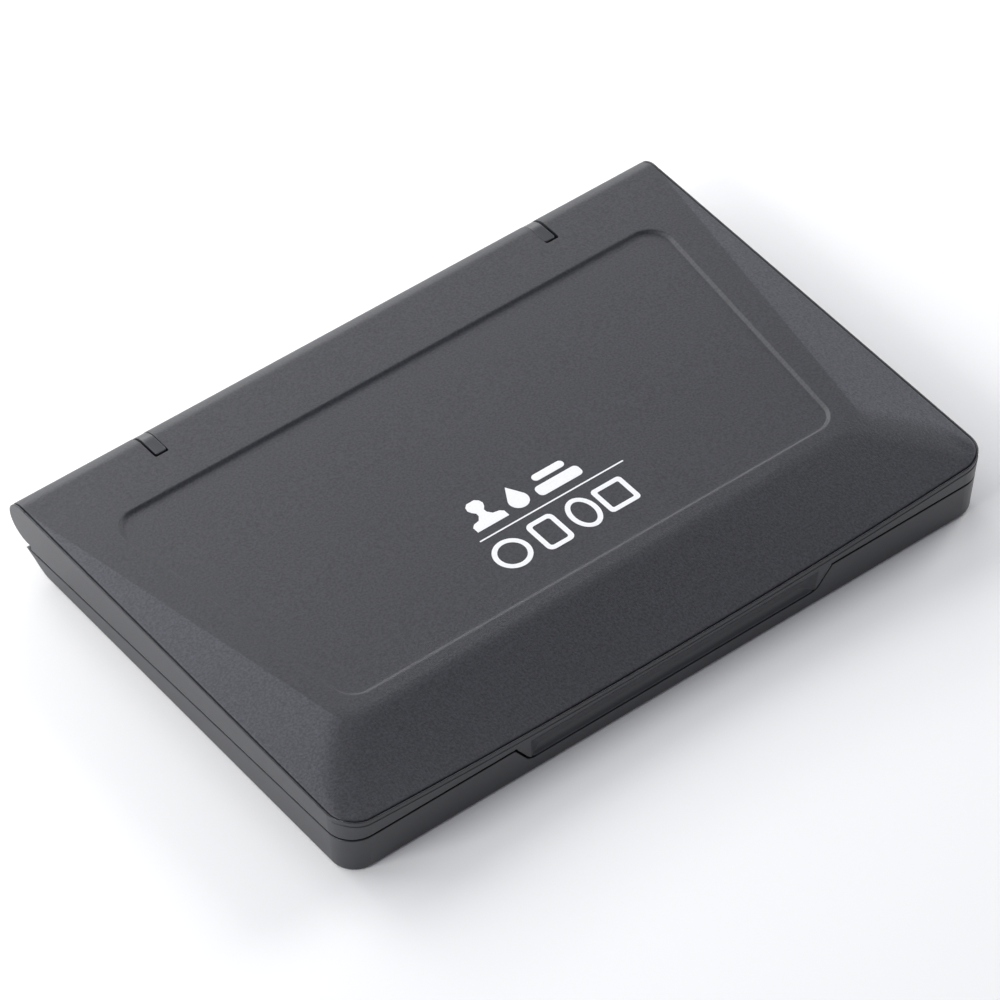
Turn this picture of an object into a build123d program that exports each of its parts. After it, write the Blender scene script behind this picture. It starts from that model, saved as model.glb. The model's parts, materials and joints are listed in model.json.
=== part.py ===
from build123d import *

import math
import os

# A flat desk ink pad: a hinged lid over a shallow base that holds an ink-soaked felt pad.
# Millimetres. +X along the hinge, +Y towards the hinge, +Z up, origin under the middle.
# Heights are z. Depths named *_Y below are measured from the front face of the case.

# Case
WIDTH = 137.0
DEPTH = 94.9
WALL_SLOPE = 0.0757  # the outer walls lean out this much for each millimetre of height
FULL_WIDTH_Z = 13.6  # height at which the walls have reached the full size
CORNER_RADIUS = 5.4
BOTTOM_EDGE = 0.8

# Roof and facets of the lid
ROOF_FRONT_Z = 15.64  # height of the roof plane above the front face
ROOF_SLOPE = 0.023  # fall towards the hinge
ROOF_EDGE_Y = 17.26  # front edge of the roof
RIM_MIDDLE_Z = 10.15  # rim at the middle of the front
RIM_CORNER_Z = 12.9  # rim at the front corners
RIM_SIDE_SLOPE = 0.007
SIDE_FACET_SLOPE = 0.169

# Hinge
BARREL_RADIUS = 4.23
AXIS_DEPTH = DEPTH - BARREL_RADIUS
AXIS_Z = ROOF_FRONT_Z - ROOF_SLOPE * AXIS_DEPTH - BARREL_RADIUS
PIN_RADIUS = 1.3
EYE_RADIUS = 1.36
EYE_MOUTH = 2.0  # snap-in opening of the eye, narrower than the pin
LUG_RADIUS = 2.55
LUG_SPAN = (41.0, 43.1)  # from the middle of the case to the two faces of a lug
SLOT_SPAN = (40.75, 43.6)
SLOT_FRONT_Y = 86.55
TONGUE_SPAN = (40.87, 43.08)  # smooth tongue of the frame that fills the slot's upper part
TONGUE_FRONT_Y = 87.05
TONGUE_CORNER = 0.5
TONGUE_BORE = 2.85  # room for the lug under the tongue
TONGUE_END = 32.0  # the tongue ends this many degrees above the axis, behind the barrel

# Parting line between base and lid, falling towards the hinge
SPLIT_FRONT_Z = 8.4
SPLIT_SLOPE = 0.05
SPLIT_GAP = 0.52
SKIRT_END_Y = 89.6

# Lid walls
LIP = 0.24  # wall outside the groove round the cover
GROOVE = 0.24
GROOVE_DEPTH = 0.28
COVER_THICKNESS = 1.2
SKIN = 1.0  # inner skin of the frame, under the cover
RIM_WALL = 2.0
FIT = 0.05  # between pieces that are glued or clipped together
COVER_TAIL = 0.9  # the cover's barrel skin ends this far behind the axis, underneath

# Panel sunk into the roof
PANEL_FRONT_Y = 20.8
PANEL_REAR_Y = 78.9
PANEL_FRONT_HALF = 51.85
PANEL_REAR_HALF = 59.4
PANEL_CORNER = 4.6
PANEL_DEPTH = 0.5
PANEL_BEVEL = 0.6

# Liner plate in the lid, over the pad
LINER_Z = 10.3
LINER_THICKNESS = 0.8
LINER_INSET = 6.0
POST_RADIUS = 2.2
POST_X = (22.0, 50.0)
POST_Y = (24.0, 66.0)

# Thumb notch of the base and tab of the lid
NOTCH_TOP_HALF = 34.0
NOTCH_BOTTOM_HALF = 30.6
NOTCH_BOTTOM_Z = 3.55
NOTCH_CORNER = 2.2
TAB_GAP = 0.3
TAB_REAR_Y = 4.2
SCOOP_TOP_Z = 8.9
SCOOP_HALF = 29.4
SCOOP_END_RADIUS = 4.5
SCOOP_DEPTH = 1.6
SCOOP_FOOT = 0.5  # how far the scoop is behind the front face at its lower end
RIM_STEP = 0.1  # the front rim steps back this far near its top
RIM_STEP_DROP = 1.05

# Base
FLOOR = 1.6
BASE_WALL = 1.8
RIB_INSET = 2.4  # upstand that laps the inside of the lid's skirt
RIB_WIDTH = 1.0
RIB_RISE = 0.6
RIB_END_Y = 84.0

# Pad
PAD_LENGTH = 110.0
PAD_WIDTH = 70.0
PAD_CORNER = 4.0
PAD_DEPTH = 45.4  # middle of the pad from the front face
TRAY_FLOOR = 1.0
TRAY_TOP_Z = 8.1
DECK_DROP = 0.9
DECK_THICKNESS = 1.0
POCKET_HALF = 37.0
FRAME_WIDTH = 3.2
FRAME_TOP_Z = 8.9
PAD_TOP_Z = 9.5
PAD_EDGE = 0.9
FELT_TOP_Z = 7.0

FAR = 110.0
FRONT = -DEPTH / 2
AXIS_Y = FRONT + AXIS_DEPTH
PAD_Y = FRONT + PAD_DEPTH


def block(inset):
    """The case's outline moved inwards by inset, with leaning walls and an open rear."""
    z_low = -2.0
    shrink = inset + WALL_SLOPE * (FULL_WIDTH_Z - z_low)
    length = FAR - FRONT - shrink
    outline = RectangleRounded(WIDTH - 2 * shrink, length, max(CORNER_RADIUS - shrink, 0.5))
    face = Plane.XY.offset(z_low) * Pos(0, FRONT + shrink + length / 2) * outline
    return extrude(face, amount=20, taper=-math.degrees(math.atan(WALL_SLOPE)))


def side_prism(points, x_low=-FAR, x_high=FAR):
    """A prism along X from (depth, height) points."""
    outline = Polyline([(FRONT + y, z) for y, z in points], close=True)
    return extrude(Plane.YZ.offset(x_low) * make_face(outline), amount=x_high - x_low)


def axle(radius, x_low=-FAR, x_high=FAR):
    disc = Plane.YZ.offset(x_low) * Pos(AXIS_Y, AXIS_Z) * Circle(radius)
    return extrude(disc, amount=x_high - x_low)


def cuboid(x_span, y_span, z_span):
    size = [b - a for a, b in (x_span, y_span, z_span)]
    middle = [(a + b) / 2 for a, b in (x_span, y_span, z_span)]
    return Pos(*middle) * Box(*size)


def split_z(depth, side):
    """Parting line: side is +1 for the lid's edge and -1 for the base's."""
    return SPLIT_FRONT_Z - SPLIT_SLOPE * depth + side * SPLIT_GAP / 2


def front_cutter(drop):
    """What lies above the front facet, which sags towards the middle of the rim."""
    reach = 1.12
    half = WIDTH / 2
    edge_z = ROOF_FRONT_Z - ROOF_SLOPE * ROOF_EDGE_Y - drop
    middle = edge_z - reach * (edge_z - RIM_MIDDLE_Z + drop)
    corner = edge_z - reach * (edge_z - RIM_CORNER_Z + drop)
    wide = 80.0
    corner_wide = middle + (corner - middle) * (wide / half) ** 2
    sag = ThreePointArc((-wide, corner_wide), (0, middle), (wide, corner_wide))
    top = Polyline((wide, corner_wide), (wide, 30), (-wide, 30), (-wide, corner_wide))
    low = make_face(Plane.XZ.offset(-(FRONT + ROOF_EDGE_Y * (1 - reach))) * (sag + top))
    straight = Polyline((-wide, edge_z), (wide, edge_z), (wide, 30), (-wide, 30), close=True)
    high = make_face(Plane.XZ.offset(-(FRONT + ROOF_EDGE_Y)) * straight)
    return loft([low, high], ruled=True)


def under_roof(drop):
    """Everything under the lid's outer surface lowered by drop, round the barrel at the rear."""
    roof = [(-5, -5), (AXIS_DEPTH, -5)]
    roof += [(y, ROOF_FRONT_Z - ROOF_SLOPE * y - drop) for y in (AXIS_DEPTH, -5)]
    shape = side_prism(roof) + axle(BARREL_RADIUS - drop)
    half = WIDTH / 2
    for side in (-1, 1):
        corners = []
        for y in (-20, 130):
            rim = RIM_CORNER_Z + RIM_SIDE_SLOPE * y - drop
            inner = rim + SIDE_FACET_SLOPE * half
            outer = rim - SIDE_FACET_SLOPE * 20
            outline = [(0, inner), (side * (half + 20), outer), (side * (half + 20), 40), (0, 40)]
            plane = Plane.XZ.offset(-(FRONT + y))
            corners.append(make_face(plane * Polyline(outline, close=True)))
        shape -= loft(corners, ruled=True)
    return shape - front_cutter(drop)


def notch_face(gap):
    top_z = 12.0
    lean = (NOTCH_TOP_HALF - NOTCH_BOTTOM_HALF) / (SPLIT_FRONT_Z - NOTCH_BOTTOM_Z)
    bottom = NOTCH_BOTTOM_Z + gap
    low = NOTCH_BOTTOM_HALF - gap
    high = low + lean * (top_z - bottom)
    outline = Polyline((-low, bottom), (low, bottom), (high, top_z), (-high, top_z), close=True)
    face = make_face(outline)
    return fillet(face.vertices().group_by(Axis.Y)[0], NOTCH_CORNER)


def notch_prism(gap, y_low, y_high):
    plane = Plane.XZ.offset(-(FRONT + y_low))
    return extrude(plane * notch_face(gap), amount=y_high - y_low, dir=(0, 1, 0))


def slab(length, width, radius, z_low, z_high):
    face = Plane.XY.offset(z_low) * Pos(0, PAD_Y) * RectangleRounded(length, width, radius)
    return extrude(face, amount=z_high - z_low)


def slots():
    cut = None
    for side in (-1, 1):
        span = sorted((side * SLOT_SPAN[0], side * SLOT_SPAN[1]))
        box = cuboid(span, (FRONT + SLOT_FRONT_Y, FAR), (-3, 30))
        cut = box if cut is None else cut + box
    return cut


# Lid cover: textured skin over the roof, the facets and the barrel
outer = under_roof(0)
cover = block(LIP + GROOVE) & outer
cover -= under_roof(COVER_THICKNESS)
cover -= cuboid((-FAR, FAR), (FRONT, AXIS_Y + COVER_TAIL), (-3, AXIS_Z))
cover -= slots()
panel_outline = Polyline(
    (-PANEL_FRONT_HALF, FRONT + PANEL_FRONT_Y),
    (PANEL_FRONT_HALF, FRONT + PANEL_FRONT_Y),
    (PANEL_REAR_HALF, FRONT + PANEL_REAR_Y),
    (-PANEL_REAR_HALF, FRONT + PANEL_REAR_Y),
    close=True,
)
panel = make_face(panel_outline)
panel = fillet(panel.vertices(), PANEL_CORNER)
tilt = Plane((0, FRONT, ROOF_FRONT_Z), x_dir=(1, 0, 0), z_dir=(0, ROOF_SLOPE, 1))
panel_floor = offset(panel, -PANEL_BEVEL)
panel_top = Pos(0, -FRONT) * panel
panel_low = tilt.offset(-PANEL_DEPTH) * Pos(0, -FRONT) * panel_floor
cover -= loft([tilt.offset(0.02) * panel_top, panel_low], ruled=True)

# Lid frame: rim, barrel ends, barrel core, inner skin and thumb tongue in one moulding
skirt = [(-5, split_z(-5, 1)), (SKIRT_END_Y, split_z(SKIRT_END_Y, 1)), (SKIRT_END_Y, 30), (-5, 30)]
lid_space = side_prism(skirt)
case = block(0)
lip = (case - block(LIP)) & under_roof(0.03)
inner = block(LIP - 0.01) & under_roof(COVER_THICKNESS + FIT)
core = axle(BARREL_RADIUS - COVER_THICKNESS - FIT)
groove_floor = block(LIP - 0.01) - block(LIP + GROOVE - 0.03)
groove_floor &= under_roof(GROOVE_DEPTH)
frame = (lip + inner + groove_floor) & case & (lid_space + axle(BARREL_RADIUS))
hollow_rear = AXIS_DEPTH - 3.4
hollow = [(-5, -5), (hollow_rear, -5), (hollow_rear, 30), (-5, 30)]
hollow = side_prism(hollow) & block(RIM_WALL) & under_roof(COVER_THICKNESS + FIT + SKIN)
frame -= hollow
undercut = side_prism([(hollow_rear - 1, -5), (110, -5), (110, AXIS_Z), (hollow_rear - 1, AXIS_Z)])
undercut &= block(RIM_WALL)
frame -= undercut - core
tab = notch_prism(TAB_GAP, -3, TAB_REAR_Y) & case & under_roof(COVER_THICKNESS + FIT)
tab_half = NOTCH_TOP_HALF - 0.6
frame += tab & cuboid((-tab_half, tab_half), (-FAR, FAR), (-5, 11.0))
plan = Polyline(
    (-SCOOP_HALF - 2 * SCOOP_DEPTH, FRONT - SCOOP_DEPTH),
    (-SCOOP_HALF, FRONT + SCOOP_DEPTH),
    (SCOOP_HALF, FRONT + SCOOP_DEPTH),
    (SCOOP_HALF + 2 * SCOOP_DEPTH, FRONT - SCOOP_DEPTH),
    close=True,
)
plan = make_face(plan)
plan = fillet(plan.vertices().group_by(Axis.Y)[-1], SCOOP_END_RADIUS)
scoop = extrude(Plane.XY.offset(-2) * plan, amount=SCOOP_TOP_Z + 4)
hollow_line = ThreePointArc(
    (FRONT - 0.2, SCOOP_TOP_Z + 0.1),
    (FRONT + SCOOP_DEPTH, 0.5 * (SCOOP_TOP_Z + NOTCH_BOTTOM_Z) + 0.4),
    (FRONT + SCOOP_FOOT, NOTCH_BOTTOM_Z),
)
foot = Polyline(hollow_line @ 1, (FRONT + SCOOP_FOOT, 2), (FRONT - 4, 2), (FRONT - 4, 9), hollow_line @ 0)
curl = extrude(Plane.YZ.offset(-FAR) * make_face(hollow_line + foot), amount=2 * FAR)
frame -= scoop & curl
step_zone = cuboid((-FAR, FAR), (FRONT - 5, FRONT + CORNER_RADIUS), (9, 20))
frame -= (step_zone - under_roof(RIM_STEP_DROP)) - Pos(0, RIM_STEP) * case
frame -= slots()
tongue_profile = under_roof(0.04) - axle(TONGUE_BORE)
tongue_profile &= cuboid((-FAR, FAR), (FRONT + TONGUE_FRONT_Y, FAR), (AXIS_Z + 1.9, 20)) + side_prism(
    [
        (AXIS_DEPTH, AXIS_Z),
        (AXIS_DEPTH + 9, AXIS_Z + 9 * math.tan(math.radians(TONGUE_END))),
        (AXIS_DEPTH + 9, 30),
        (AXIS_DEPTH, 30),
    ]
)
tongue_root = tongue_profile & under_roof(COVER_THICKNESS + FIT)
for side in (-1, 1):
    tongue_span = sorted((side * TONGUE_SPAN[0], side * TONGUE_SPAN[1]))
    tongue_width = TONGUE_SPAN[1] - TONGUE_SPAN[0]
    tongue_plan = RectangleRounded(tongue_width, 20, TONGUE_CORNER)
    tongue_plan = Pos(sum(tongue_span) / 2, FRONT + TONGUE_FRONT_Y + 10) * tongue_plan
    root_span = sorted((side * (SLOT_SPAN[0] - 0.3), side * TONGUE_SPAN[1]))
    frame += tongue_profile & extrude(tongue_plan, amount=30)
    frame += tongue_root & cuboid(root_span, (-FAR, FAR), (-5, 30))
    pin_span = sorted((side * (SLOT_SPAN[0] - 0.5), side * (SLOT_SPAN[1] + 0.5)))
    frame += axle(PIN_RADIUS, *pin_span)
for x in POST_X:
    for y in POST_Y:
        for side in (-1, 1):
            post = Pos(side * x, FRONT + y, LINER_Z + LINER_THICKNESS + FIT + 3)
            post *= Cylinder(POST_RADIUS, 6)
            frame += post & under_roof(COVER_THICKNESS + FIT + 0.3)

# Liner: flat plate on the posts, over the pad
liner = block(LINER_INSET) & under_roof(COVER_THICKNESS + 2 * FIT + SKIN)
liner &= cuboid(
    (-FAR, FAR), (FRONT, FRONT + hollow_rear - 1.6), (LINER_Z, LINER_Z + LINER_THICKNESS)
)

# Base shell: floor, leaning walls, upstand, notch and hinge lugs
belly = [(-5, 0), (83.6, 0), (84.8, 0.25), (86.2, 0.75), (87.7, 1.5), (89.0, 2.4), (90.4, 3.2)]
belly += [(91.2, split_z(91.2, -1)), (-5, split_z(-5, -1))]
base = case & side_prism(belly)
rim_edges = base.edges().group_by(Axis.Z)[0].filter_by(lambda e: e.center().Y < FRONT + 83)
base = fillet(rim_edges, BOTTOM_EDGE)
well = [(-5, FLOOR), (83.8, FLOOR), (88.0, 3.0), (88.6, 30), (-5, 30)]
base -= block(BASE_WALL) & side_prism(well)
rib_line = [(-5, FLOOR), (RIB_END_Y, FLOOR), (RIB_END_Y, split_z(RIB_END_Y, 1) + RIB_RISE)]
rib_line += [(-5, split_z(-5, 1) + RIB_RISE)]
rib = (block(RIB_INSET) - block(RIB_INSET + RIB_WIDTH)) & side_prism(rib_line)
rib_root = [(-5, FLOOR), (RIB_END_Y, FLOOR), (RIB_END_Y, split_z(RIB_END_Y, -1) - 0.8)]
rib_root += [(-5, split_z(-5, -1) - 0.8)]
root = (block(BASE_WALL - 0.2) - block(RIB_INSET + RIB_WIDTH)) & side_prism(rib_root)
base += rib + root
ledge = side_prism([(86.4, 2.2), (88.8, 2.2), (88.8, 4.3), (86.4, 4.3)], -64, 64)
base += ledge
base -= notch_prism(0, -3, RIB_INSET + RIB_WIDTH + 2.2)
for side in (-1, 1):
    span = sorted((side * LUG_SPAN[0], side * LUG_SPAN[1]))
    stem = [(86.8, 2.4), (89.6, 2.6), (90.17, 3.2), (90.17, 7.4), (88.3, 8.0), (87.6, 4.3)]
    stem = side_prism(stem, *span)
    lug = axle(LUG_RADIUS, *span) + stem
    lug -= axle(EYE_RADIUS, -FAR, FAR)
    mouth = (AXIS_Z - EYE_MOUTH / 2, AXIS_Z + EYE_MOUTH / 2)
    lug -= cuboid((-FAR, FAR), (AXIS_Y - 10, AXIS_Y), mouth)
    base += lug

# Pad tray: box for the felt with a deck that closes the base round it
box_margin = FRAME_WIDTH
tray_low = FLOOR + FIT
tray = slab(PAD_LENGTH + 2 * box_margin, PAD_WIDTH + 2 * box_margin, 6.0, tray_low, TRAY_TOP_Z)
deck_line = [(-5, split_z(-5, -1) - DECK_DROP), (83.0, split_z(83.0, -1) - DECK_DROP)]
deck_line += [(y, z - DECK_THICKNESS) for y, z in reversed(deck_line)]
deck = block(RIB_INSET + RIB_WIDTH + FIT * 2) & side_prism(deck_line)
skirt_line = [(-5, tray_low), (83.0, tray_low)]
skirt_line += [(83.0, split_z(83.0, -1) - DECK_DROP - 0.2), (-5, split_z(-5, -1) - DECK_DROP - 0.2)]
edge = block(RIB_INSET + RIB_WIDTH + 2 * FIT) - block(RIB_INSET + RIB_WIDTH + 2 * FIT + 1.0)
deck += edge & side_prism(skirt_line)
deck -= cuboid((-POCKET_HALF, POCKET_HALF), (FRONT - 5, FRONT + 7.4), (-5, 20))
tray += deck
tray -= slab(PAD_LENGTH + 0.3, PAD_WIDTH + 0.3, PAD_CORNER, tray_low + TRAY_FLOOR, 20)

# Felt core, cloth and clamping frame
felt = slab(PAD_LENGTH, PAD_WIDTH, PAD_CORNER, tray_low + TRAY_FLOOR + FIT, FELT_TOP_Z)
cloth = slab(PAD_LENGTH, PAD_WIDTH, PAD_CORNER, FELT_TOP_Z + FIT, PAD_TOP_Z)
cloth = fillet(cloth.edges().group_by(Axis.Z)[-1], PAD_EDGE)
ring_outer = (PAD_LENGTH + 2 * box_margin, PAD_WIDTH + 2 * box_margin)
ring = slab(*ring_outer, 6.0, TRAY_TOP_Z + FIT, FRAME_TOP_Z)
ring = chamfer(ring.edges().group_by(Axis.Z)[-1], 0.4)
ring -= slab(PAD_LENGTH + 0.3, PAD_WIDTH + 0.3, PAD_CORNER, 0, 20)

nodes = {
    "base_shell": base,
    "pad_tray": tray,
    "felt_core": felt,
    "pad_cloth": cloth,
    "pad_frame": ring,
    "lid_frame": frame,
    "lid_cover": cover,
    "lid_liner": liner,
}

os.makedirs("parts", exist_ok=True)
for name, shape in nodes.items():
    export_step(shape, f"parts/{name}.step")
    box = shape.bounding_box()
    print(name, "solids", len(shape.solids()), "volume", round(shape.volume, 1), box)
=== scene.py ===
import json
import math

import bmesh
import bpy
import numpy as np
from mathutils import Matrix, Vector


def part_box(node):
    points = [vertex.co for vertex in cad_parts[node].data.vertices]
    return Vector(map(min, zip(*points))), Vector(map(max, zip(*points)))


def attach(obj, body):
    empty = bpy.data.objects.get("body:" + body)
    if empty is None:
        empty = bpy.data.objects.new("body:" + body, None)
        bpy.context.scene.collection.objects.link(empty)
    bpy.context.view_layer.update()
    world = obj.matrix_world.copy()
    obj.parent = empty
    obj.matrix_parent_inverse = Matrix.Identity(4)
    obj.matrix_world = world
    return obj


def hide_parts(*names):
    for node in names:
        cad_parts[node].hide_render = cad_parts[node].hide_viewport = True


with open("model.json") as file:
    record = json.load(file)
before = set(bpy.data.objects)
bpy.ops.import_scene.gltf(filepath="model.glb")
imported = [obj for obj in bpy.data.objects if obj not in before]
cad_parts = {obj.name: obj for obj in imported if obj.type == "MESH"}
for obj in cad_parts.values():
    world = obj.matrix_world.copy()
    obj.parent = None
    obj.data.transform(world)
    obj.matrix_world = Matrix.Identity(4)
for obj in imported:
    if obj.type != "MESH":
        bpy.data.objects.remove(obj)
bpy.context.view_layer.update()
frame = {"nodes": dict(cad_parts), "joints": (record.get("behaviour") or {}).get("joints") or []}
MM = 0.001


# ---- Smooth shell: the base and the lid's inner moulding --------------------------------
# Injection-moulded anthracite ABS from a polished tool. The eye sees a satin skin with a
# faint waviness, a soft sheen on every edge and a very fine tooth, finer on the walls.


def linear(code, alpha=1.0):
    """An sRGB hex colour as linear numbers."""
    out = []
    for i in (0, 2, 4):
        c = int(code[i : i + 2], 16) / 255
        out.append(c / 12.92 if c <= 0.04045 else ((c + 0.055) / 1.055) ** 2.4)
    return (*out, alpha)


def add(tree, kind, values=None, links=None, **settings):
    """Adds one node, with its settings, its input values and the sockets linked into it."""
    node = tree.nodes.new(kind)
    for name, value in settings.items():
        setattr(node, name, value)
    for name, value in (values or {}).items():
        node.inputs[name].default_value = value
    for name, socket in (links or {}).items():
        tree.links.new(socket, node.inputs[name])
    return node


def start_material(name):
    """An empty node material, its tree and the object's own coordinates in it."""
    material = bpy.data.materials.new(name)
    material.use_nodes = True
    tree = material.node_tree
    tree.nodes.clear()
    place = add(tree, "ShaderNodeTexCoord").outputs["Object"]
    return material, tree, place


def end_material(tree, shader):
    add(tree, "ShaderNodeOutputMaterial", links={"Surface": shader.outputs[0]})


DRIFT = 45.0  # the colour drifts over about 20 mm


def moulded_plastic(
    name, dark, light, roughness, rough_spread, grain_mm, grain_height_mm, edge_mm, pit_shade_share=0.3
):
    """Moulded plastic: its colour drifts a little, and the tool's grain is in its skin. fleck is
    how much of the colour's spread the grain takes, as painted shade that darkens the grain's
    hollows."""
    material, tree, place = start_material(name)
    drift = add(tree, "ShaderNodeTexNoise", {"Scale": DRIFT, "Detail": 3.0}, {"Vector": place})
    grain = add(
        tree,
        "ShaderNodeTexNoise",
        {"Scale": 1 / (grain_mm * MM), "Detail": 2.0, "Roughness": 0.55},
        {"Vector": place},
    )
    # painted shade: the grain's hollows are drawn darker and its peaks lighter
    painted_pit_shade = add(
        tree,
        "ShaderNodeMapRange",
        {"From Min": 0.3, "From Max": 0.7},
        {"Value": grain.outputs["Fac"]},
    )
    blend = add(
        tree,
        "ShaderNodeMix",
        {"Factor": pit_shade_share},
        {"A": drift.outputs["Fac"], "B": painted_pit_shade.outputs["Result"]},
        data_type="FLOAT",
    )
    colour = add(
        tree,
        "ShaderNodeMix",
        {"A": linear(dark), "B": linear(light)},
        {"Factor": blend.outputs["Result"]},
        data_type="RGBA",
    )
    sheen = add(
        tree,
        "ShaderNodeMapRange",
        {"To Min": roughness - rough_spread, "To Max": roughness + rough_spread},
        {"Value": grain.outputs["Fac"]},
    )
    edge = add(tree, "ShaderNodeBevel", {"Radius": edge_mm * MM}, samples=6)
    bump = add(
        tree,
        "ShaderNodeBump",
        {"Strength": 1.0, "Distance": grain_height_mm * MM},
        {"Height": grain.outputs["Fac"], "Normal": edge.outputs["Normal"]},
    )
    shader = add(
        tree,
        "ShaderNodeBsdfPrincipled",
        {"IOR": 1.53},
        {
            "Base Color": colour.outputs["Result"],
            "Roughness": sheen.outputs["Result"],
            "Normal": bump.outputs["Normal"],
        },
    )
    end_material(tree, shader)
    return material


def dress(node, material):
    """Gives a CAD node its material."""
    mesh = frame["nodes"][node].data
    mesh.materials.clear()
    mesh.materials.append(material)


satin_abs = moulded_plastic(
    "satin moulded ABS",
    dark="292A2F",
    light="2F3035",
    roughness=0.36,
    rough_spread=0.05,
    grain_mm=0.22,
    grain_height_mm=0.004,
    edge_mm=0.35,
)
dress("base_shell", satin_abs)
dress("lid_frame", satin_abs)


# ---- Inner mouldings: pad tray, clamping ring and lid liner -------------------------------
# Thin polypropylene mouldings in near-black, a little waxier than the case. The tray holds
# the pad, the ring clamps the cloth on it, and the liner closes the lid over it.

inner_pp = moulded_plastic(
    "waxy black polypropylene",
    dark="1E1F22",
    light="26272B",
    roughness=0.42,
    rough_spread=0.05,
    grain_mm=0.4,
    grain_height_mm=0.006,
    edge_mm=0.2,
)
for node in ("pad_tray", "pad_frame", "lid_liner"):
    dress(node, inner_pp)


# ---- Felt core ---------------------------------------------------------------------------
# A block of pressed wool felt that holds the ink, die-cut to the tray. Soaked in ink it is
# almost black, its cut sides bulge a little and short fibres blur its faces.

PAD_CORNER = 4.0


def pad_form(name, node, top, side, step):
    """A closed pad within a node's box. top gives how far the surface lies below the box's
    top at a distance from the outline. side gives each row of the side as inset and height."""
    low, high = (Vector(c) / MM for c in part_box(node))
    middle, half = (low + high) / 2, (high - low) / 2
    fine = PAD_CORNER * np.array([0.25, 0.5, 0.7, 0.84, 0.92, 0.97, 1.0])
    lines = []
    for reach in (half.x - PAD_CORNER, half.y - PAD_CORNER):
        straight = np.linspace(-reach, reach, round(2 * reach / step) + 1)
        lines.append(np.r_[-reach - fine[::-1], straight, reach + fine])
    x, y = np.meshgrid(*lines)
    s = np.clip((np.abs(x) - half.x) / PAD_CORNER + 1, 0, 1)
    t = np.clip((np.abs(y) - half.y) / PAD_CORNER + 1, 0, 1)
    round_s, round_t = s * np.sqrt(1 - t * t / 2), t * np.sqrt(1 - s * s / 2)
    x = x + np.sign(x) * PAD_CORNER * (round_s - s)
    y = y + np.sign(y) * PAD_CORNER * (round_t - t)
    from_edge = np.minimum(half.x - np.abs(x), half.y - np.abs(y))
    in_corner = (s > 0) & (t > 0)
    from_edge[in_corner] = PAD_CORNER * (1 - np.hypot(round_s, round_t)[in_corner])
    rows, across = x.shape
    z = high.z - top(np.clip(from_edge, 0, None))
    points = [np.c_[x.ravel() + middle.x, y.ravel() + middle.y, z.ravel()]]
    index = np.arange(rows * across).reshape(rows, across)
    loop = np.r_[index[0, :-1], index[:-1, -1], index[-1, :0:-1], index[:0:-1, 0]]
    faces = []
    for r in range(rows - 1):
        for c in range(across - 1):
            faces.append((index[r, c], index[r, c + 1], index[r + 1, c + 1], index[r + 1, c]))
    upper, count = loop, rows * across
    for inset, height in side:
        shrink = np.array([1 - inset / half.x, 1 - inset / half.y])
        ring = np.c_[x.ravel()[loop] * shrink[0] + middle.x, y.ravel()[loop] * shrink[1] + middle.y]
        points.append(np.c_[ring, np.full(len(ring), low.z + height)])
        lower = np.arange(count, count + len(loop))
        for i in range(len(loop)):
            j = (i + 1) % len(loop)
            faces.append((upper[j], upper[i], lower[i], lower[j]))
        upper, count = lower, count + len(loop)
    inner = index[1:-1, 1:-1].ravel()
    sole_x = x.ravel()[inner] * shrink[0] + middle.x
    sole_y = y.ravel()[inner] * shrink[1] + middle.y
    points.append(np.c_[sole_x, sole_y, np.full(len(inner), low.z)])
    under = {int(k): count + n for n, k in enumerate(inner)}
    under.update({int(k): int(lower[n]) for n, k in enumerate(loop)})
    for face in list(faces[: (rows - 1) * (across - 1)]):
        faces.append(tuple(under[int(k)] for k in reversed(face)))
    mesh = bpy.data.meshes.new(name)
    faces = [tuple(int(i) for i in face) for face in faces]
    mesh.from_pydata([tuple(p) for p in np.vstack(points) * MM], [], faces)
    mesh.validate()
    piece = bpy.data.objects.new(name, mesh)
    bpy.context.scene.collection.objects.link(piece)
    return piece, rows * across


def made_plain(piece):
    """The piece's mesh with its modifiers taken in, smooth all over."""
    bpy.context.view_layer.update()
    shape = piece.evaluated_get(bpy.context.evaluated_depsgraph_get())
    mesh = bpy.data.meshes.new_from_object(shape)
    piece.modifiers.clear()
    piece.data = mesh
    for polygon in mesh.polygons:
        polygon.use_smooth = True


def felt_top(distance):
    """The cut edge of the felt slopes off over 1.6 mm."""
    return 0.15 + 0.9 * np.clip(1 - distance / 1.6, 0, 1) ** 2


felt_side = [(0.05, 3.2), (0.0, 2.2), (0.05, 1.0), (0.4, 0.3), (1.0, 0.0)]
felt, _ = pad_form("felt_block", "felt_core", felt_top, felt_side, 2.5)
softer = felt.modifiers.new("softer", "SUBSURF")
softer.levels = softer.render_levels = 1
made_plain(felt)

material, tree, place = start_material("ink-soaked wool felt")
FIBRE_MM = 0.25
fibres = add(
    tree,
    "ShaderNodeTexNoise",
    {"Scale": 1 / (FIBRE_MM * MM), "Detail": 4.0, "Roughness": 0.7, "Distortion": 1.2},
    {"Vector": place},
)
soak = add(tree, "ShaderNodeTexNoise", {"Scale": 60.0, "Detail": 2.0}, {"Vector": place})
depth_of_ink = add(
    tree,
    "ShaderNodeMath",
    links={0: soak.outputs["Fac"], 1: fibres.outputs["Fac"]},
    operation="MULTIPLY",
)
shade = add(
    tree,
    "ShaderNodeMix",
    {"A": linear("121116"), "B": linear("34323A")},
    {"Factor": depth_of_ink.outputs[0]},
    data_type="RGBA",
)
fuzz = add(
    tree,
    "ShaderNodeBump",
    {"Strength": 1.0, "Distance": 0.12 * MM},
    {"Height": fibres.outputs["Fac"]},
)
soaked = add(
    tree,
    "ShaderNodeBsdfPrincipled",
    {"Roughness": 0.85, "Sheen Weight": 0.3, "Sheen Roughness": 0.6},
    {"Base Color": shade.outputs["Result"], "Normal": fuzz.outputs["Normal"]},
)
end_material(tree, soaked)
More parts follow.
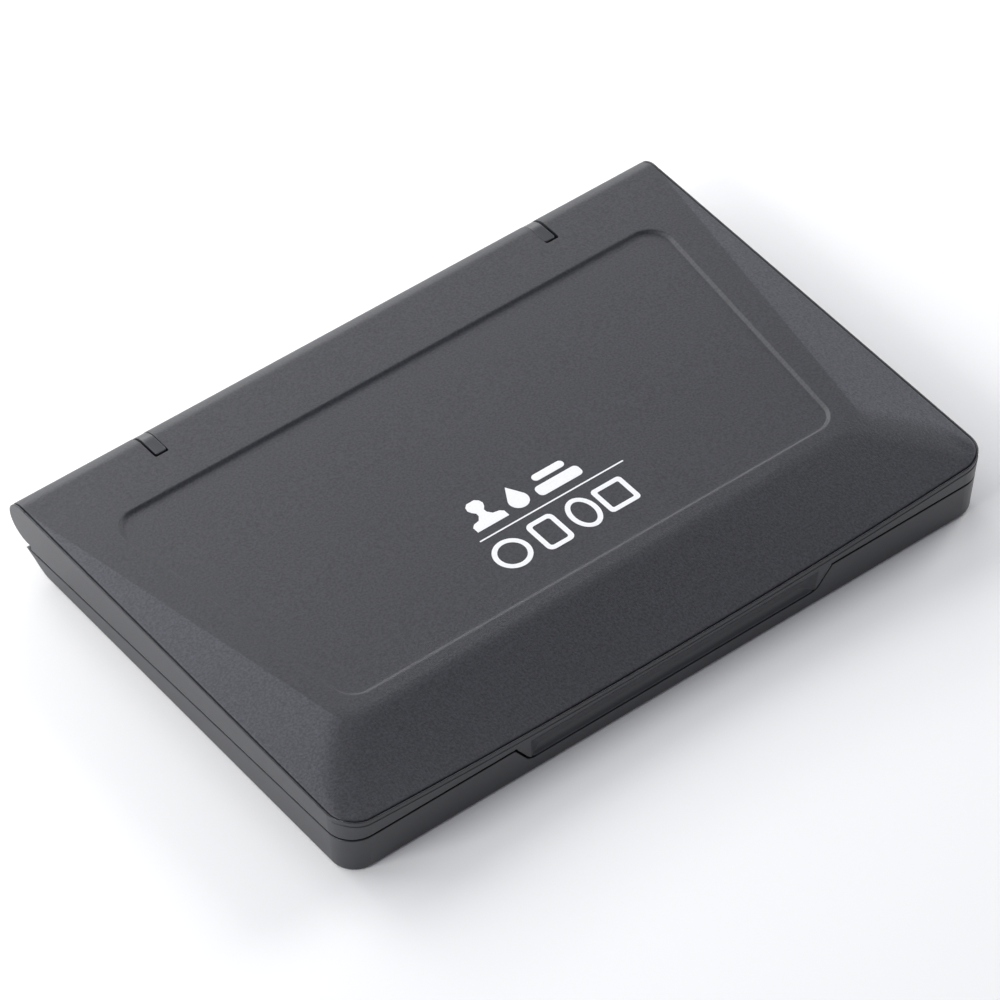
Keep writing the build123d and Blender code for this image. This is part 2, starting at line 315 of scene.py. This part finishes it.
felt.data.materials.append(material)
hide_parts("felt_core")
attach(felt, "base")


# ---- Inked cloth -------------------------------------------------------------------------
# A fine plain-weave cotton cloth drawn tight over the felt and clamped by the ring. The felt
# swells under it into a low crown. It is black with ink, damp, and shinier where it is wet.

CROWN = 0.42  # the most that the swollen felt lifts the cloth
EDGE_ROLL = 0.95


def cloth_top(distance):
    """The cloth before it swells: flat, and rolled over at its edge."""
    rolled = np.clip(1 - distance / EDGE_ROLL, 0, 1)
    return CROWN + 0.03 + EDGE_ROLL * (1 - np.sqrt(1 - rolled**2)) * 0.85


cloth_side = [(0.02, 1.15), (0.2, 0.9), (0.26, 0.6), (0.2, 0.3), (0.35, 0.0)]
cloth, top_count = pad_form("inked_pad_cloth", "pad_cloth", cloth_top, cloth_side, 1.7)
SWELL_FRAMES = 20
held = cloth.vertex_groups.new(name="clamped")
count = len(cloth.data.vertices)
start = np.array([v.co for v in cloth.data.vertices])
edge_height = start[:top_count, 2].min() + 0.3 * MM
clamped = [i for i in range(count) if i >= top_count or start[i, 2] < edge_height]
held.add(clamped, 1.0, "REPLACE")
swell = cloth.modifiers.new("swelling felt", "CLOTH")
swell.settings.vertex_group_mass = held.name
swell.settings.mass = 0.0005
swell.settings.quality = 8
swell.settings.tension_stiffness = swell.settings.compression_stiffness = 4.0
swell.settings.bending_stiffness = 0.01
swell.settings.use_pressure = True
swell.settings.uniform_pressure_force = 12.0
swell.settings.effector_weights.gravity = 0.0
swell.collision_settings.use_collision = False
swell.point_cache.frame_start, swell.point_cache.frame_end = 1, SWELL_FRAMES
for moment in range(1, SWELL_FRAMES + 1):
    bpy.context.scene.frame_set(moment)
swollen = bpy.data.meshes.new_from_object(
    cloth.evaluated_get(bpy.context.evaluated_depsgraph_get())
)
rise = np.array([v.co for v in swollen.vertices]) - start
rise[top_count:] = 0
rise[:, :2] = 0
rise *= min(1.0, CROWN * MM / max(np.abs(rise).max(), 1e-9))
cloth.modifiers.clear()
bpy.context.scene.frame_set(1)
for vertex, move in zip(cloth.data.vertices, rise):
    vertex.co += Vector(move)
softer = cloth.modifiers.new("softer", "SUBSURF")
softer.levels = softer.render_levels = 1
made_plain(cloth)

material, tree, place = start_material("inked plain-weave cotton")
THREAD_MM = 0.55  # such threads are about 0.25 mm apart, which is too fine to show
parts = add(tree, "ShaderNodeSeparateXYZ", links={"Vector": place})


def maths(operation, first, second=0.0):
    """One sum on sockets or plain numbers, in the tree of the material that is being made."""
    pair = {0: first, 1: second}
    links = {k: v for k, v in pair.items() if not isinstance(v, (int, float))}
    values = {k: v for k, v in pair.items() if isinstance(v, (int, float))}
    return add(tree, "ShaderNodeMath", values, links, operation=operation).outputs[0]


def wave(axis):
    """A wave with a crest and a trough for two threads side by side."""
    return maths("SINE", maths("MULTIPLY", parts.outputs[axis], math.pi / (THREAD_MM * MM)))


warp, weft = wave("X"), wave("Y")
crossing = maths("MULTIPLY", warp, weft)
over = maths("ADD", maths("ABSOLUTE", warp), crossing)
under = maths("SUBTRACT", maths("ABSOLUTE", weft), crossing)
weave = maths("MULTIPLY", maths("MAXIMUM", over, under), 0.5)
slub = add(tree, "ShaderNodeTexNoise", {"Scale": 420.0, "Detail": 3.0}, {"Vector": place})
height = maths("ADD", weave, maths("MULTIPLY", slub.outputs["Fac"], 0.35))
damp = add(
    tree,
    "ShaderNodeTexNoise",
    {"Scale": 38.0, "Detail": 3.0, "Roughness": 0.6},
    {"Vector": place},
)
wet = add(
    tree,
    "ShaderNodeMapRange",
    {"From Min": 0.38, "From Max": 0.62, "To Min": 0.3, "To Max": 0.62},
    {"Value": damp.outputs["Fac"]},
)
# the ink's colour is lighter on the threads' tops and darker between them, and it varies at random
# with the slub
ink = add(
    tree,
    "ShaderNodeMix",
    {"A": linear("0E0D14"), "B": linear("2B2935")},
    {"Factor": maths("MULTIPLY", weave, slub.outputs["Fac"])},
    data_type="RGBA",
)
threads = add(
    tree, "ShaderNodeBump", {"Strength": 1.0, "Distance": 0.06 * MM}, {"Height": height}
)
inked = add(
    tree,
    "ShaderNodeBsdfPrincipled",
    {"IOR": 1.45, "Sheen Weight": 0.12, "Sheen Roughness": 0.5},
    {
        "Base Color": ink.outputs["Result"],
        "Roughness": wet.outputs["Result"],
        "Normal": threads.outputs["Normal"],
    },
)
end_material(tree, inked)
cloth.data.materials.append(material)
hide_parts("pad_cloth")
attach(cloth, "base")


# ---- Lid cover ---------------------------------------------------------------------------
# The upper moulding of the lid, in anthracite ABS from a spark-eroded tool, about 1.2 mm
# thick. It clips over the frame inside a fine groove and wraps the hinge barrel. Its facets
# run into each other in soft bends, and a shallow panel is sunk in the roof.

hinge = next(j for j in frame["joints"] if j["name"] == "lid_hinge")
HINGE_Y, HINGE_Z = hinge["pos_m"][1] / MM, hinge["pos_m"][2] / MM
HALF = 68.5  # half of the case's width
FRONT = -47.45  # the case's front face
WALL_SLOPE = 0.0757
FULL_Z = 13.6
EDGE_INSET = 0.48  # from the case's outer face to the cover's edge, across lip and groove
CORNER_R = 5.4
ROOF_Z, ROOF_FALL = 15.64, 0.023
ROOF_EDGE = 17.26
RIM_MIDDLE, RIM_CORNER, RIM_RISE = 10.15, 12.9, 0.007
SIDE_FALL = 0.169
RIDGE_FADE = 2.6  # a front corner's rounded ridge tightens over this length at the rim
BARREL_R = 4.23
SHELL = 1.2
BARREL_TAIL = 0.9
SLOT_A, SLOT_B, SLOT_FRONT = 40.75, 43.6, 86.55
PANEL = {"front": 20.8, "rear": 78.9, "front_half": 51.85, "rear_half": 59.4, "corner": 4.6}
PANEL_SINK = 0.5


def soft_min(a, b, k):
    """The lower of two heights, with a soft bend where they cross."""
    h = np.clip(k - np.abs(a - b), 0, None) / np.maximum(k, 1e-6)
    return np.minimum(a, b) - h * h * k / 4


def round_min(a, b, r):
    """The lower of two heights, rounded where they cross as by a radius r."""
    spread = np.clip(np.abs(a - b), 0, r)
    return np.minimum(a, b) + (spread - 2 * r + np.sqrt(2 * r * r - spread * spread)) / 2


def roof_height(x, depth):
    """Height of the cover's skin, in mm, for a place x across and depth behind the front."""
    roof = ROOF_Z - ROOF_FALL * depth
    rim = RIM_MIDDLE + (RIM_CORNER - RIM_MIDDLE) * (x / HALF) ** 2
    edge = ROOF_Z - ROOF_FALL * ROOF_EDGE
    front = rim + (edge - rim) * depth / ROOF_EDGE
    side = RIM_CORNER + RIM_RISE * depth + SIDE_FALL * (HALF - np.abs(x))
    near = np.minimum(HALF - np.abs(x), depth)
    ridge = SIDE_FALL * CORNER_R * np.clip((near - 0.5) / RIDGE_FADE, 0.05, 1)
    return soft_min(round_min(front, side, ridge), roof, 0.16)


def grade(start, end, step_start, step_end):
    """Places from start to end whose steps grow or shrink evenly."""
    count = max(2, round(2 * abs(end - start) / (step_start + step_end)))
    t = np.linspace(0, 1, count + 1)
    ratio = (step_end - step_start) / (step_end + step_start)
    return start + (end - start) * (t * (1 - ratio) + t * t * ratio)


FRONT_POINTS = 113  # along the straight front edge
CORNER_SHARE = 10  # a front corner's points that belong to the front


def edge_chain(rear, inset):
    """The cover's edge from its left end round the front to its right, and its inward ways."""
    half, front, radius = HALF - inset, inset, CORNER_R - inset
    points, inward = [], []
    for y in grade(rear, front + radius, 1.4, 0.9)[:-1]:
        points.append((-half, y))
        inward.append((1, 0))
    for a in np.linspace(0, 90, 19):
        c, s = math.cos(math.radians(a)), math.sin(math.radians(a))
        points.append((-half + radius - radius * c, front + radius - radius * s))
        inward.append((c, s))
    for x in np.linspace(-half + radius, half - radius, FRONT_POINTS + 2)[1:-1]:
        points.append((x, front))
        inward.append((0, 1))
    turn = [(p, n) for p, n in zip(points, inward) if p[0] < -half + radius + 1e-6]
    for p, n in turn[::-1]:
        points.append((-p[0], p[1]))
        inward.append((-n[0], n[1]))
    return np.array(points), np.array(inward)


def panel_points(count_rear, count_side, count_front):
    """The sunk panel's outline and outward directions, matched one to one to the cover's edge."""
    f, r, fh, rh = (PANEL[k] for k in ("front", "rear", "front_half", "rear_half"))
    corners = [(rh, r), (-rh, r), (-fh, f), (fh, f)]
    radius = PANEL["corner"]
    arcs = []
    for i in range(4):
        p = Vector(corners[i])
        a = (Vector(corners[i - 1]) - p).normalized()
        b = (Vector(corners[(i + 1) % 4]) - p).normalized()
        half_angle = a.angle(b) / 2
        centre = p + (a + b).normalized() * radius / math.sin(half_angle)
        start = p + a * radius / math.tan(half_angle) - centre
        end = p + b * radius / math.tan(half_angle) - centre
        a0, a1 = math.atan2(start.y, start.x), math.atan2(end.y, end.x)
        if a1 < a0:
            a1 += 2 * math.pi
        arcs.append([(centre, radius, a0 + (a1 - a0) * t) for t in np.linspace(0, 1, 33)])
    places, ways = [], []
    counts = [count_rear, count_side, count_front, count_side]
    for i in range(4):
        run = [(c.x + q * math.cos(t), c.y + q * math.sin(t), t) for c, q, t in arcs[i][16:]]
        following = arcs[(i + 1) % 4][:17]
        run += [(c.x + q * math.cos(t), c.y + q * math.sin(t), t) for c, q, t in following]
        run = np.array(run)
        run[:, 2] = np.unwrap(run[:, 2])
        length = np.r_[0, np.cumsum(np.hypot(*np.diff(run[:, :2], axis=0).T))]
        even = np.linspace(0, 1, counts[i] + 1)[:-1]
        # more points in the corners, fewer on the straight
        even = even - 0.8 * np.sin(2 * math.pi * even) / (2 * math.pi)
        for t in even * length[-1]:
            places.append([np.interp(t, length, run[:, k]) for k in (0, 1)])
            angle = np.interp(t, length, run[:, 2])
            ways.append((math.cos(angle), math.sin(angle)))
    return np.array(places), np.array(ways)


def shell_object(name, vertices, faces, material, thickness):
    """A piece from the points of its outer skin in mm, closed to a wall."""
    mesh = bpy.data.meshes.new(name)
    mesh.from_pydata([tuple(c * MM for c in v) for v in vertices], [], faces)
    mesh.validate()
    piece = bpy.data.objects.new(name, mesh)
    bpy.context.scene.collection.objects.link(piece)
    work = bmesh.new()
    work.from_mesh(mesh)
    bmesh.ops.remove_doubles(work, verts=work.verts, dist=1e-6)
    bmesh.ops.recalc_face_normals(work, faces=work.faces)
    work.to_mesh(mesh)
    work.free()
    top = max(mesh.polygons, key=lambda p: p.center.z)
    if top.normal.z < 0:
        mesh.flip_normals()
    wall = piece.modifiers.new("wall", "SOLIDIFY")
    wall.thickness = thickness * MM
    wall.offset = -1
    bpy.context.view_layer.update()
    mesh = bpy.data.meshes.new_from_object(
        piece.evaluated_get(bpy.context.evaluated_depsgraph_get())
    )
    piece.modifiers.clear()
    piece.data = mesh
    mesh.materials.clear()
    mesh.materials.append(material)
    for polygon in mesh.polygons:
        polygon.use_smooth = True
    mesh.set_sharp_from_angle(angle=math.radians(35))
    return piece


def edge_roll(distance, radius=0.22):
    """How far the skin drops where it rolls over into the groove."""
    d = np.clip(distance, 0, radius)
    return radius - np.sqrt(radius**2 - (radius - d) ** 2)


STRIP = SLOT_FRONT - 0.55  # the strip with the slots and the barrel starts here
BARREL_TOP_Z = 13.5
ROLL_STEPS = (0.0, 0.05, 0.12, 0.22, 0.5, 1.1)  # rows that roll the edge over, from outside
rear_half = HALF - EDGE_INSET - WALL_SLOPE * (FULL_Z - BARREL_TOP_Z)
end_columns = [rear_half - d for d in ROLL_STEPS]
side_columns = list(grade(SLOT_B + 0.4, rear_half - 2.0, 1.0, 0.9))
slot_columns = [SLOT_A - 0.4, SLOT_A, SLOT_A + 0.2, SLOT_A + 0.6]
slot_columns += [SLOT_B - 0.6, SLOT_B - 0.2, SLOT_B]
middle = list(np.linspace(0, SLOT_A - 1.4, 36)[1:])
positive = sorted(set(end_columns + side_columns + slot_columns + middle))
columns = np.array([-x for x in positive[::-1]] + [0] + positive)

edge, inward = edge_chain(STRIP, EDGE_INSET)
sunk = WALL_SLOPE * (FULL_Z - roof_height(edge[:, 0], edge[:, 1]))
points, faces = [], []
for d in ROLL_STEPS:
    ring = edge + inward * (d + sunk)[:, None]
    ring[[0, -1], 1] = STRIP
    points += [tuple(p) for p in np.c_[ring, roof_height(*ring.T) - edge_roll(d)]]
chain = len(edge)
for k in range(len(ROLL_STEPS) - 1):
    for i in range(chain - 1):
        a, b = k * chain + i, k * chain + i + 1
        faces.append((a, b, b + chain, a + chain))

# closed rings run from there to the panel and down its edge, along the strip at the rear
inside = columns[np.abs(columns) < rear_half - ROLL_STEPS[-1] - 1e-6]
rear_line = np.c_[inside[::-1], np.full(len(inside), STRIP)]
outer_ring = np.vstack([ring, rear_line])
first_rear = len(ring) - 1
n_rear = len(inside) + 1
n_side = (len(edge) - FRONT_POINTS) // 2 - CORNER_SHARE
n_front = len(outer_ring) - n_rear - 2 * n_side
inner, outward = panel_points(n_rear, n_side, n_front)
order = np.roll(np.arange(len(outer_ring)), -first_rear)
outer_ring = outer_ring[order]
start_ring = inner + outward * 0.9
# the lines that cross these rings leave the panel squarely, so that no face folds over
t = np.linspace(0, 1, 21)[:, None, None]
reach = 0.5 * np.hypot(*(start_ring - outer_ring).T)[None, :, None] * (1 - t)
plan = outer_ring + (start_ring + outward * reach - outer_ring) * t * t * (3 - 2 * t)
rings = [np.c_[ring, roof_height(*ring.T)] for ring in plan]
# the panel's bevel: distance outside its outline, and height over the roof
profile = [(0.5, 0), (0.3, 0), (0.16, -0.01), (0.06, -0.04), (-0.04, -0.1), (-0.2, -0.24)]
profile += [(-0.36, -0.38), (-0.46, -0.45), (-0.58, -0.49)]
profile += [(out, -PANEL_SINK) for out in (-0.75, -1.4, -2.6)]
for out, sink in profile:
    ring = inner + outward * out
    rings.append(np.c_[ring, roof_height(*ring.T) + sink])

count = len(outer_ring)
first = len(points)
points += [tuple(p) for ring in rings for p in ring]
for k in range(len(rings) - 1):
    for i in range(count):
        j = (i + 1) % count
        a, b = first + k * count, first + (k + 1) * count
        faces.append((a + i, a + j, b + j, b + i))
faces.append(tuple(first + (len(rings) - 1) * count + i for i in range(count)))
# the rear strip, row by row: flat up to the hinge axis, then round the barrel
axis_depth = HINGE_Y - FRONT
rows = [(y, None) for y in (STRIP, SLOT_FRONT, SLOT_FRONT + 0.4, 87.8, 88.8, 89.8)]
last_angle = 180 - math.degrees(math.asin(BARREL_TAIL / BARREL_R))
rows += [(None, a) for a in np.linspace(0, last_angle, 31)]
base_index = len(points)
for depth, angle in rows:
    for x in columns:
        roll = edge_roll(rear_half - abs(x))
        if angle is None:
            z = float(roof_height(np.array(float(x)), np.array(depth))) - roll
            y = depth
        else:
            z = HINGE_Z + (BARREL_R - roll) * math.cos(math.radians(angle))
            y = axis_depth + (BARREL_R - roll) * math.sin(math.radians(angle))
        lean = WALL_SLOPE * (BARREL_TOP_Z - z) * min(max((abs(x) - 50) / (rear_half - 50), 0), 1)
        points.append((x - math.copysign(lean, x) if x else 0.0, y, z))
width = len(columns)
for r in range(len(rows) - 1):
    for c in range(width - 1):
        x = abs((columns[c] + columns[c + 1]) / 2)
        quad = [base_index + r * width + c, base_index + r * width + c + 1]
        quad += [quad[1] + width, quad[0] + width]
        if SLOT_A < x < SLOT_B and r >= 1:
            if r == 1 and (x < SLOT_A + 0.4 or x > SLOT_B - 0.4):
                left_corner = abs(columns[c]) in (SLOT_A, SLOT_B)
                faces.append((quad[0], quad[1], quad[3 if left_corner else 2]))
            continue
        faces.append(tuple(quad))
points = [(x, y + FRONT, z) for x, y, z in points]

grained_abs = moulded_plastic(
    "spark-grained ABS",
    dark="1B1C21",
    light="35363D",
    roughness=0.5,
    rough_spread=0.07,
    grain_mm=0.42,  # such grain is about 0.1 mm across, which is too fine to show
    grain_height_mm=0.036,
    edge_mm=0.15,
    # most of the colour's spread goes to painted shade in the grain's hollows
    pit_shade_share=0.85,
)
cover = shell_object("grained_lid_cover", points, faces, grained_abs, SHELL)

# The side facets are painted lighter than their plastic. This painted light is a stand-in for the
# brightness that the real facets show, whose cause isn't known, and 1 turns it off. It starts at
# the roof's crease and fades out over the rounded ridge to the front facet.
FACET_PAINTED_LIGHT = 1.75
tree = grained_abs.node_tree
shader = next(n for n in tree.nodes if n.type == "BSDF_PRINCIPLED")
tone = shader.inputs["Base Color"].links[0].from_socket
place = next(n for n in tree.nodes if n.type == "TEX_COORD").outputs["Object"]
parts = add(tree, "ShaderNodeSeparateXYZ", links={"Vector": place})


def ramp(low, high, value):
    """0 below low and 1 above high, with a smooth rise."""
    span = {"From Min": low, "From Max": high}
    links = {"Value": value}
    rise = add(tree, "ShaderNodeMapRange", span, links, interpolation_type="SMOOTHSTEP")
    return rise.outputs["Result"]


x_mm = maths("DIVIDE", maths("ABSOLUTE", parts.outputs["X"]), MM)
depth_mm = maths("SUBTRACT", maths("DIVIDE", parts.outputs["Y"], MM), FRONT)
roof_z = maths("SUBTRACT", ROOF_Z, maths("MULTIPLY", depth_mm, ROOF_FALL))
side_z = maths("MULTIPLY", maths("SUBTRACT", HALF, x_mm), SIDE_FALL)
side_z = maths("ADD", maths("ADD", side_z, RIM_CORNER), maths("MULTIPLY", depth_mm, RIM_RISE))
across = maths("POWER", maths("DIVIDE", x_mm, HALF), 2.0)
rim_z = maths("ADD", maths("MULTIPLY", across, RIM_CORNER - RIM_MIDDLE), RIM_MIDDLE)
climb = maths("DIVIDE", maths("SUBTRACT", ROOF_Z - ROOF_FALL * ROOF_EDGE, rim_z), ROOF_EDGE)
front_z = maths("ADD", rim_z, maths("MULTIPLY", climb, depth_mm))
painted_light_on_facet = maths(
    "MULTIPLY",
    ramp(-0.03, 0.03, maths("SUBTRACT", roof_z, side_z)),
    ramp(0.0, 0.9, maths("SUBTRACT", front_z, side_z)),
)
# painted light: the side facets' colour is multiplied lighter than the plastic's own
painted_facet_light = add(
    tree,
    "ShaderNodeMix",
    {"B": (FACET_PAINTED_LIGHT, FACET_PAINTED_LIGHT, FACET_PAINTED_LIGHT, 1.0)},
    {"Factor": painted_light_on_facet, "A": tone},
    data_type="RGBA",
    blend_type="MULTIPLY",
)
tree.links.new(painted_facet_light.outputs["Result"], shader.inputs["Base Color"])
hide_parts("lid_cover")
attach(cover, "lid")


# ---- Print on the panel ------------------------------------------------------------------
# Opaque white ink, pad-printed on the sunk panel in one flat film: a row of solid marks for
# the stamp and its ink, a rule, and the outlines of the stamp plates that the pad suits.

FILM = 0.03  # the film's thickness
LIFT = 0.005  # under the film, so that it never shares the panel's surface
STROKE = 0.95


def oval(cx, cy, rx, ry, steps=40):
    """An ellipse as points, in mm across the lid and mm behind its front."""
    turn = np.linspace(0, 2 * math.pi, steps, endpoint=False)
    return [(cx + rx * math.cos(a), cy + ry * math.sin(a)) for a in turn]


def rounded(cx, cy, w, h, r):
    """A rectangle with rounded corners."""
    corners = []
    for k, (sx, sy) in enumerate(((1, 1), (-1, 1), (-1, -1), (1, -1))):
        mx, my = cx + sx * (w / 2 - r), cy + sy * (h / 2 - r)
        for a in np.radians(np.linspace(90 * k, 90 * k + 90, 7)):
            corners.append((mx + r * math.cos(a), my + r * math.sin(a)))
    return corners


def hand_stamp(cx, foot):
    """A hand stamp from the side: round knob, waisted neck and a broad base."""
    half = [(3.3, 0.0), (3.3, 1.35), (2.7, 1.9), (1.5, 2.15), (0.85, 3.0), (0.8, 3.7), (1.35, 4.35)]
    half += [(1.65, 5.1), (1.45, 5.9), (0.8, 6.5)]
    return [(cx + x, foot + y) for x, y in half] + [(cx - x, foot + y) for x, y in half[::-1]]


def ink_drop(cx, foot, r):
    """A drop: a round foot drawn up into a point."""
    turn = np.radians(np.linspace(-215, 35, 31))
    tip = (cx, foot + 3.0 * r)
    return [(cx + r * math.cos(a), foot + r + r * math.sin(a)) for a in turn] + [tip]


solid = [hand_stamp(-8.6, 38.4), ink_drop(-1.9, 38.3, 1.9), rounded(6.2, 39.6, 9.2, 2.5, 0.9)]
solid += [rounded(6.2, 42.6, 6.6, 1.6, 0.8), rounded(2.3, 36.5, 30.6, 0.3, 0.1)]
outlines = []
for middle, rx, ry in ((-10.4, 3.5, 3.5), (4.8, 2.8, 3.8)):
    outlines += [oval(middle, 31.0, rx, ry), oval(middle, 31.0, rx - STROKE, ry - STROKE)]
for middle, w, h, outer, inner in ((-2.4, 5.6, 7.4, 1.2, 0.5), (11.6, 6.4, 6.4, 0.8, 0.3)):
    outlines.append(rounded(middle, 31.0, w, h, outer))
    outlines.append(rounded(middle, 31.0, w - 2 * STROKE, h - 2 * STROKE, inner))
flat = bpy.data.curves.new("print", "CURVE")
flat.dimensions = "2D"
flat.fill_mode = "BOTH"
flat.extrude = FILM / 2
for line in solid + outlines:
    spline = flat.splines.new("POLY")
    spline.points.add(len(line) - 1)
    for point, (x, y) in zip(spline.points, line):
        point.co = (x, y, 0, 1)
    spline.use_cyclic_u = True
shape = bpy.data.objects.new("print", flat)
bpy.context.scene.collection.objects.link(shape)
bpy.context.view_layer.update()
film = bpy.data.meshes.new_from_object(shape.evaluated_get(bpy.context.evaluated_depsgraph_get()))
bpy.data.objects.remove(shape)
work = bmesh.new()
work.from_mesh(film)
bmesh.ops.remove_doubles(work, verts=work.verts, dist=1e-4)
bmesh.ops.recalc_face_normals(work, faces=work.faces)
for vertex in work.verts:
    x, depth, rise = vertex.co
    z = ROOF_Z - ROOF_FALL * depth - PANEL_SINK + FILM / 2 + LIFT + rise
    vertex.co = Vector((x, depth + FRONT, z)) * MM
work.to_mesh(film)
work.free()
marks = bpy.data.objects.new("panel_print", film)
bpy.context.scene.collection.objects.link(marks)

material, tree, place = start_material("white pad-printing ink")
speck = {"Scale": 2600.0, "Detail": 2.0}  # about 0.4 mm across
cover_power = add(tree, "ShaderNodeTexNoise", speck, {"Vector": place})
white = add(
    tree,
    "ShaderNodeMix",
    {"A": linear("E4E5E7"), "B": linear("F6F6F6")},
    {"Factor": cover_power.outputs["Fac"]},
    data_type="RGBA",
)
orange_peel = add(
    tree,
    "ShaderNodeBump",
    {"Strength": 1.0, "Distance": 0.006 * MM},
    {"Height": cover_power.outputs["Fac"]},
)
dry_ink = add(
    tree,
    "ShaderNodeBsdfPrincipled",
    {"Roughness": 0.42},
    {"Base Color": white.outputs["Result"], "Normal": orange_peel.outputs["Normal"]},
)
end_material(tree, dry_ink)
film.materials.clear()
film.materials.append(material)
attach(marks, "lid")


# ---- Camera, light and floor -------------------------------------------------------------
# A long lens looks down from the front left. Soft boxes stand left, right and behind, and a
# low strip behind draws the highlight along the hinge. The room gives a weak fill.

camera_data = bpy.data.cameras.new("camera")
camera = bpy.data.objects.new("camera", camera_data)
bpy.context.scene.collection.objects.link(camera)
camera_data.sensor_width = 36
camera_data.lens = 217.13
camera_data.shift_x = 0.00946
camera_data.shift_y = 0.00079
# the axes that it stands by: right, up and back
right_way = Vector((0.78870441, -0.61473944, -0.00638573))
up_way = Vector((0.44672528, 0.56594609, 0.69292247))
back_way = Vector((-0.42235279, -0.54936367, 0.72098382))
stand = Matrix((right_way, up_way, back_way)).transposed().to_4x4()
stand.translation = Vector((-433.308, -560.66, 744.162)) * MM
camera.matrix_world = stand
camera_data.clip_start = 0.05
bpy.context.scene.camera = camera


def soft_box(name, place, aim, size, watts):
    """A white soft light that stands at place and faces aim, in metres."""
    data = bpy.data.lights.new(name, "AREA")
    data.shape = "RECTANGLE"
    data.size, data.size_y = size
    data.energy = watts
    lamp = bpy.data.objects.new(name, data)
    bpy.context.scene.collection.objects.link(lamp)
    lamp.location = place
    lamp.rotation_euler = (Vector(place) - Vector(aim)).to_track_quat("Z", "Y").to_euler()


AIM = (0, 0.03, 0)
soft_box("left box", (-0.8, 0.0, 0.45), AIM, (0.4, 0.4), 4.6)
soft_box("right box", (0.8, 0.1, 0.45), AIM, (0.4, 0.4), 3.3)
soft_box("high box behind", (0, 0.65, 0.6), AIM, (0.5, 0.4), 1.3)
soft_box("near box over the rear left corner", (-0.2, 0.4, 0.3), AIM, (0.6, 0.3), 1.6)
soft_box("low strip behind", (0.1, 0.35, 0.12), AIM, (0.5, 0.12), 0.75)

world = bpy.data.worlds.new("room")
bpy.context.scene.world = world
world.use_nodes = True
world.node_tree.nodes["Background"].inputs["Color"].default_value = linear("F1F4FF")
world.node_tree.nodes["Background"].inputs["Strength"].default_value = 0.27
bpy.context.scene.view_settings.view_transform = "Standard"

floor_material, tree, place = start_material("pale matt paper floor")
paper = add(
    tree, "ShaderNodeBsdfPrincipled", {"Roughness": 0.9, "Base Color": linear("FAFAFA")}
)
end_material(tree, paper)
FLOOR_HALF = 3.0
floor_mesh = bpy.data.meshes.new("floor")
corners = [(-1, -1), (1, -1), (1, 1), (-1, 1)]
corners = [(x * FLOOR_HALF, y * FLOOR_HALF, 0) for x, y in corners]
floor_mesh.from_pydata(corners, [], [(0, 1, 2, 3)])
floor_mesh.materials.append(floor_material)
floor = bpy.data.objects.new("floor", floor_mesh)
bpy.context.scene.collection.objects.link(floor)
